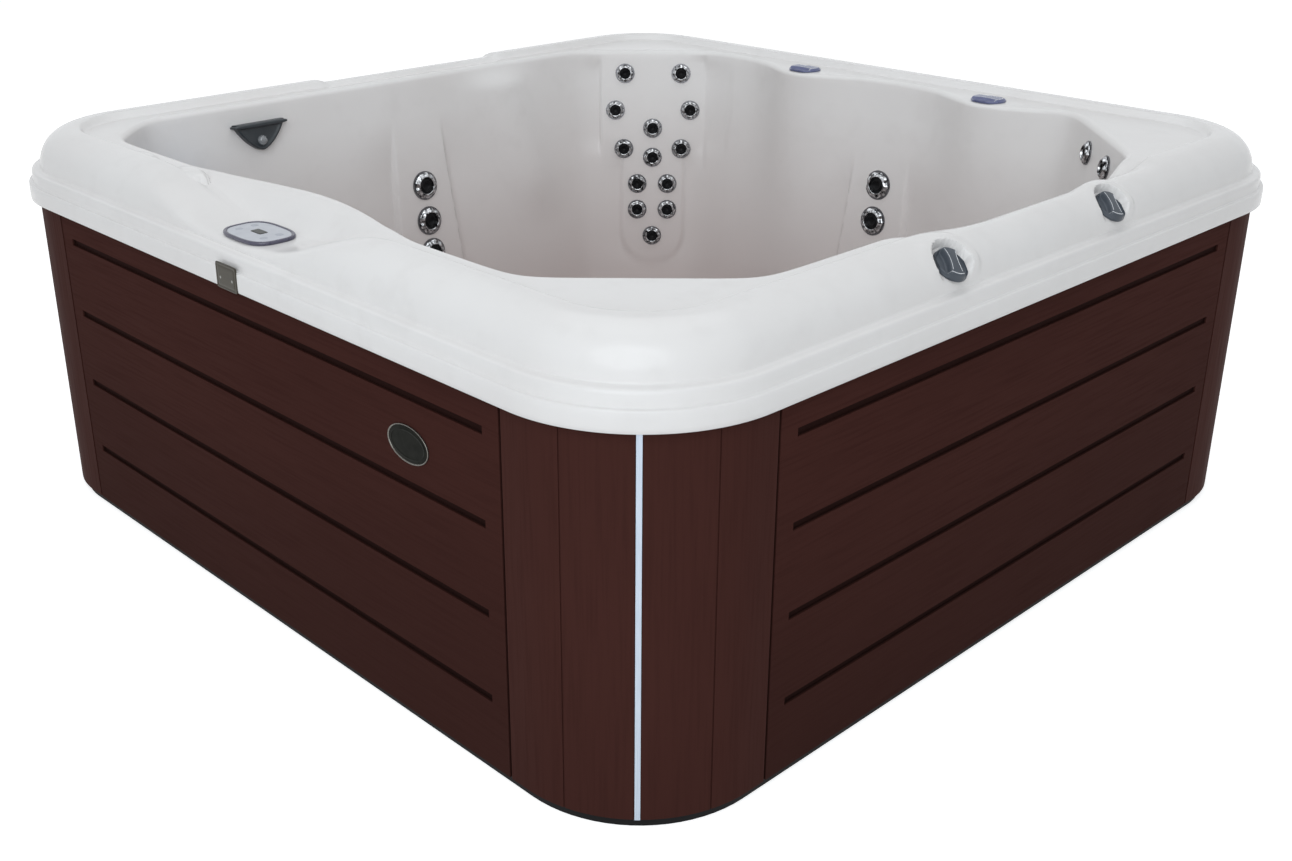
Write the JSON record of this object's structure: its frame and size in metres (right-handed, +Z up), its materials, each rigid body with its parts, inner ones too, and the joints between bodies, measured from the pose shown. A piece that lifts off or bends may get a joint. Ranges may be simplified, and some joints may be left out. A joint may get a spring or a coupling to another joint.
{
  "type": "hot tub",
  "caption": "Square hot tub with rounded corners: a white moulded shell with massage jets, control panel and knobs, in a dark grooved-panel cabinet.",
  "frame": {"origin": "on the floor, under the middle of the tub", "axes": "+Z up; the front with the control panel faces -Y; the right side with the two air knobs faces +X"},
  "size_m": [2.29, 2.29, 0.924],
  "materials": {
    "acrylic": "gloss",
    "cabinet": "satin wood grain",
    "base": "matte",
    "timber": "sawn",
    "bright_strip": "brushed",
    "control_rim": "gloss",
    "control_grey": "satin",
    "display": "gloss",
    "button_grey": "matte",
    "pewter": "satin",
    "screw_metal": "polished",
    "badge_dark": "gloss",
    "knob_grey": "satin",
    "knob_blue": "satin",
    "jet_chrome": "polished",
    "jet_black": "matte",
    "spout_dark": "satin",
    "lens_clear": "clear",
    "filter_cloth": "pleated",
    "fitting_grey": "matte",
    "motor_paint": "satin",
    "pump_black": "satin",
    "impeller_plastic": "satin",
    "heater_steel": "satin",
    "box_paint": "satin",
    "pipe_white": "gloss"
  },
  "bodies": {
    "tub": {"acrylic_shell": "acrylic", "base_pan": "base", "timber_frame": "timber", "front_panel": "cabinet", "right_panel": "cabinet", "back_panel": "cabinet", "left_panel": "cabinet", "corner_panels": "cabinet", "corner_strips": "bright_strip", "control_bezel": "control_rim", "control_face": "control_grey", "display_window": "display", "lock_plate": "pewter", "lock_screws": "screw_metal", "badge_plate": "badge_dark", "air_valves": "fitting_grey", "diverter_valves": "fitting_grey", "waterfall_spout": "spout_dark", "spout_lens": "lens_clear", "floor_drain": "fitting_grey", "suction_covers": "fitting_grey", "pump_motor": "motor_paint", "pump_wet_end": "pump_black", "heater": "heater_steel", "control_box": "box_paint", "suction_pipe": "pipe_white", "pressure_pipe": "pipe_white", "return_pipe": "pipe_white", "jet_bodies_small": "jet_black", "jet_bodies_large": "jet_black"},
    "jet_far_1": {"jet_far_1": "jet_chrome"},
    "jet_far_2": {"jet_far_2": "jet_chrome"},
    "jet_far_3": {"jet_far_3": "jet_chrome"},
    "jet_far_4": {"jet_far_4": "jet_chrome"},
    "jet_far_5": {"jet_far_5": "jet_chrome"},
    "jet_far_6": {"jet_far_6": "jet_chrome"},
    "jet_far_7": {"jet_far_7": "jet_chrome"},
    "jet_far_8": {"jet_far_8": "jet_chrome"},
    "jet_far_9": {"jet_far_9": "jet_chrome"},
    "jet_far_10": {"jet_far_10": "jet_chrome"},
    "jet_far_11": {"jet_far_11": "jet_chrome"},
    "jet_far_12": {"jet_far_12": "jet_chrome"},
    "jet_far_13": {"jet_far_13": "jet_chrome"},
    "jet_right_1": {"jet_right_1": "jet_chrome"},
    "jet_right_2": {"jet_right_2": "jet_chrome"},
    "jet_left_1": {"jet_left_1": "jet_chrome"},
    "jet_left_2": {"jet_left_2": "jet_chrome"},
    "jet_left_3": {"jet_left_3": "jet_chrome"},
    "jet_back_1": {"jet_back_1": "jet_chrome"},
    "jet_back_2": {"jet_back_2": "jet_chrome"},
    "air_knob_front": {"air_knob_front": "knob_grey"},
    "air_knob_back": {"air_knob_back": "knob_grey"},
    "diverter_knob_left": {"diverter_knob_left": "knob_blue"},
    "diverter_knob_right": {"diverter_knob_right": "knob_blue"},
    "button_jets": {"button_jets": "button_grey"},
    "button_light": {"button_light": "button_grey"},
    "button_warmer": {"button_warmer": "button_grey"},
    "button_cooler": {"button_cooler": "button_grey"},
    "pump_impeller": {"pump_impeller": "impeller_plastic"},
    "filter_cartridge": {"filter_cartridge": "filter_cloth"}
  },
  "joints": [
    {"name": "jet_far_1_turn", "type": "hinge", "parent": "tub", "child": "jet_far_1", "pos_m": [-0.84165, 0.75962, 0.838], "axis": [0.7015, -0.7015, 0.1255], "range_deg": [0, 90]},
    {"name": "jet_far_2_turn", "type": "hinge", "parent": "tub", "child": "jet_far_2", "pos_m": [-0.7172, 0.88408, 0.838], "axis": [0.7015, -0.7015, 0.1255], "range_deg": [0, 90]},
    {"name": "jet_far_3_turn", "type": "hinge", "parent": "tub", "child": "jet_far_3", "pos_m": [-0.85276, 0.7283, 0.725], "axis": [0.7015, -0.7015, 0.1255], "range_deg": [0, 90]},
    {"name": "jet_far_4_turn", "type": "hinge", "parent": "tub", "child": "jet_far_4", "pos_m": [-0.68588, 0.89518, 0.725], "axis": [0.7015, -0.7015, 0.1255], "range_deg": [0, 90]},
    {"name": "jet_far_5_turn", "type": "hinge", "parent": "tub", "child": "jet_far_5", "pos_m": [-0.76431, 0.80673, 0.669], "axis": [0.7015, -0.7015, 0.1255], "range_deg": [0, 90]},
    {"name": "jet_far_6_turn", "type": "hinge", "parent": "tub", "child": "jet_far_6", "pos_m": [-0.82293, 0.73666, 0.605], "axis": [0.7015, -0.7015, 0.1255], "range_deg": [0, 90]},
    {"name": "jet_far_7_turn", "type": "hinge", "parent": "tub", "child": "jet_far_7", "pos_m": [-0.69424, 0.86536, 0.605], "axis": [0.7015, -0.7015, 0.1255], "range_deg": [0, 90]},
    {"name": "jet_far_8_turn", "type": "hinge", "parent": "tub", "child": "jet_far_8", "pos_m": [-0.75617, 0.7986, 0.578], "axis": [0.7015, -0.7015, 0.1255], "range_deg": [0, 90]},
    {"name": "jet_far_9_turn", "type": "hinge", "parent": "tub", "child": "jet_far_9", "pos_m": [-0.78269, 0.75723, 0.495], "axis": [0.7015, -0.7015, 0.1255], "range_deg": [0, 90]},
    {"name": "jet_far_10_turn", "type": "hinge", "parent": "tub", "child": "jet_far_10", "pos_m": [-0.71481, 0.82511, 0.495], "axis": [0.7015, -0.7015, 0.1255], "range_deg": [0, 90]},
    {"name": "jet_far_11_turn", "type": "hinge", "parent": "tub", "child": "jet_far_11", "pos_m": [-0.77535, 0.7499, 0.413], "axis": [0.7015, -0.7015, 0.1255], "range_deg": [0, 90]},
    {"name": "jet_far_12_turn", "type": "hinge", "parent": "tub", "child": "jet_far_12", "pos_m": [-0.70747, 0.81778, 0.413], "axis": [0.7015, -0.7015, 0.1255], "range_deg": [0, 90]},
    {"name": "jet_far_13_turn", "type": "hinge", "parent": "tub", "child": "jet_far_13", "pos_m": [-0.7339, 0.77633, 0.329], "axis": [0.7015, -0.7015, 0.1255], "range_deg": [0, 90]},
    {"name": "jet_right_1_turn", "type": "hinge", "parent": "tub", "child": "jet_right_1", "pos_m": [0.73523, 0.82009, 0.842], "axis": [-0.7015, -0.7015, 0.1255], "range_deg": [0, 90]},
    {"name": "jet_right_2_turn", "type": "hinge", "parent": "tub", "child": "jet_right_2", "pos_m": [0.84484, 0.71049, 0.842], "axis": [-0.7015, -0.7015, 0.1255], "range_deg": [0, 90]},
    {"name": "jet_left_1_turn", "type": "hinge", "parent": "tub", "child": "jet_left_1", "pos_m": [-0.91579, 0.015, 0.597], "axis": [0.9921, 0, 0.1255], "range_deg": [0, 90]},
    {"name": "jet_left_2_turn", "type": "hinge", "parent": "tub", "child": "jet_left_2", "pos_m": [-0.90276, 0.015, 0.494], "axis": [0.9921, 0, 0.1255], "range_deg": [0, 90]},
    {"name": "jet_left_3_turn", "type": "hinge", "parent": "tub", "child": "jet_left_3", "pos_m": [-0.89087, 0.015, 0.4], "axis": [0.9921, 0, 0.1255], "range_deg": [0, 90]},
    {"name": "jet_back_1_turn", "type": "hinge", "parent": "tub", "child": "jet_back_1", "pos_m": [0.042, 0.91794, 0.614], "axis": [0, -0.9921, 0.1255], "range_deg": [0, 90]},
    {"name": "jet_back_2_turn", "type": "hinge", "parent": "tub", "child": "jet_back_2", "pos_m": [0.042, 0.90478, 0.51], "axis": [0, -0.9921, 0.1255], "range_deg": [0, 90]},
    {"name": "air_knob_front_turn", "type": "hinge", "parent": "tub", "child": "air_knob_front", "pos_m": [1.099, -0.298, 0.886], "axis": [0.5878, 0, 0.809], "range_deg": [0, 90]},
    {"name": "air_knob_back_turn", "type": "hinge", "parent": "tub", "child": "air_knob_back", "pos_m": [1.099, 0.273, 0.886], "axis": [0.5878, 0, 0.809], "range_deg": [0, 90]},
    {"name": "diverter_knob_left_turn", "type": "hinge", "parent": "tub", "child": "diverter_knob_left", "pos_m": [-0.245, 0.915, 0.907], "axis": [0, 0, 1], "range_deg": [-90, 90]},
    {"name": "diverter_knob_right_turn", "type": "hinge", "parent": "tub", "child": "diverter_knob_right", "pos_m": [0.381, 0.915, 0.907], "axis": [0, 0, 1], "range_deg": [-90, 90]},
    {"name": "button_jets_press", "type": "slide", "parent": "tub", "child": "button_jets", "axis": [0, 0, -1], "range_m": [0, 0.001], "stiffness_N_per_m": 900, "springref_m": -0.0005},
    {"name": "button_light_press", "type": "slide", "parent": "tub", "child": "button_light", "axis": [0, 0, -1], "range_m": [0, 0.001], "stiffness_N_per_m": 900, "springref_m": -0.0005},
    {"name": "button_warmer_press", "type": "slide", "parent": "tub", "child": "button_warmer", "axis": [0, 0, -1], "range_m": [0, 0.001], "stiffness_N_per_m": 900, "springref_m": -0.0005},
    {"name": "button_cooler_press", "type": "slide", "parent": "tub", "child": "button_cooler", "axis": [0, 0, -1], "range_m": [0, 0.001], "stiffness_N_per_m": 900, "springref_m": -0.0005},
    {"name": "pump_impeller_spin", "type": "hinge", "parent": "tub", "child": "pump_impeller", "pos_m": [-0.19, -0.63, 0.1], "axis": [1, 0, 0], "continuous": true},
    {"name": "filter_lift", "type": "slide", "parent": "tub", "child": "filter_cartridge", "axis": [0, 0, 1], "range_m": [0, 0.7]}
  ]
}
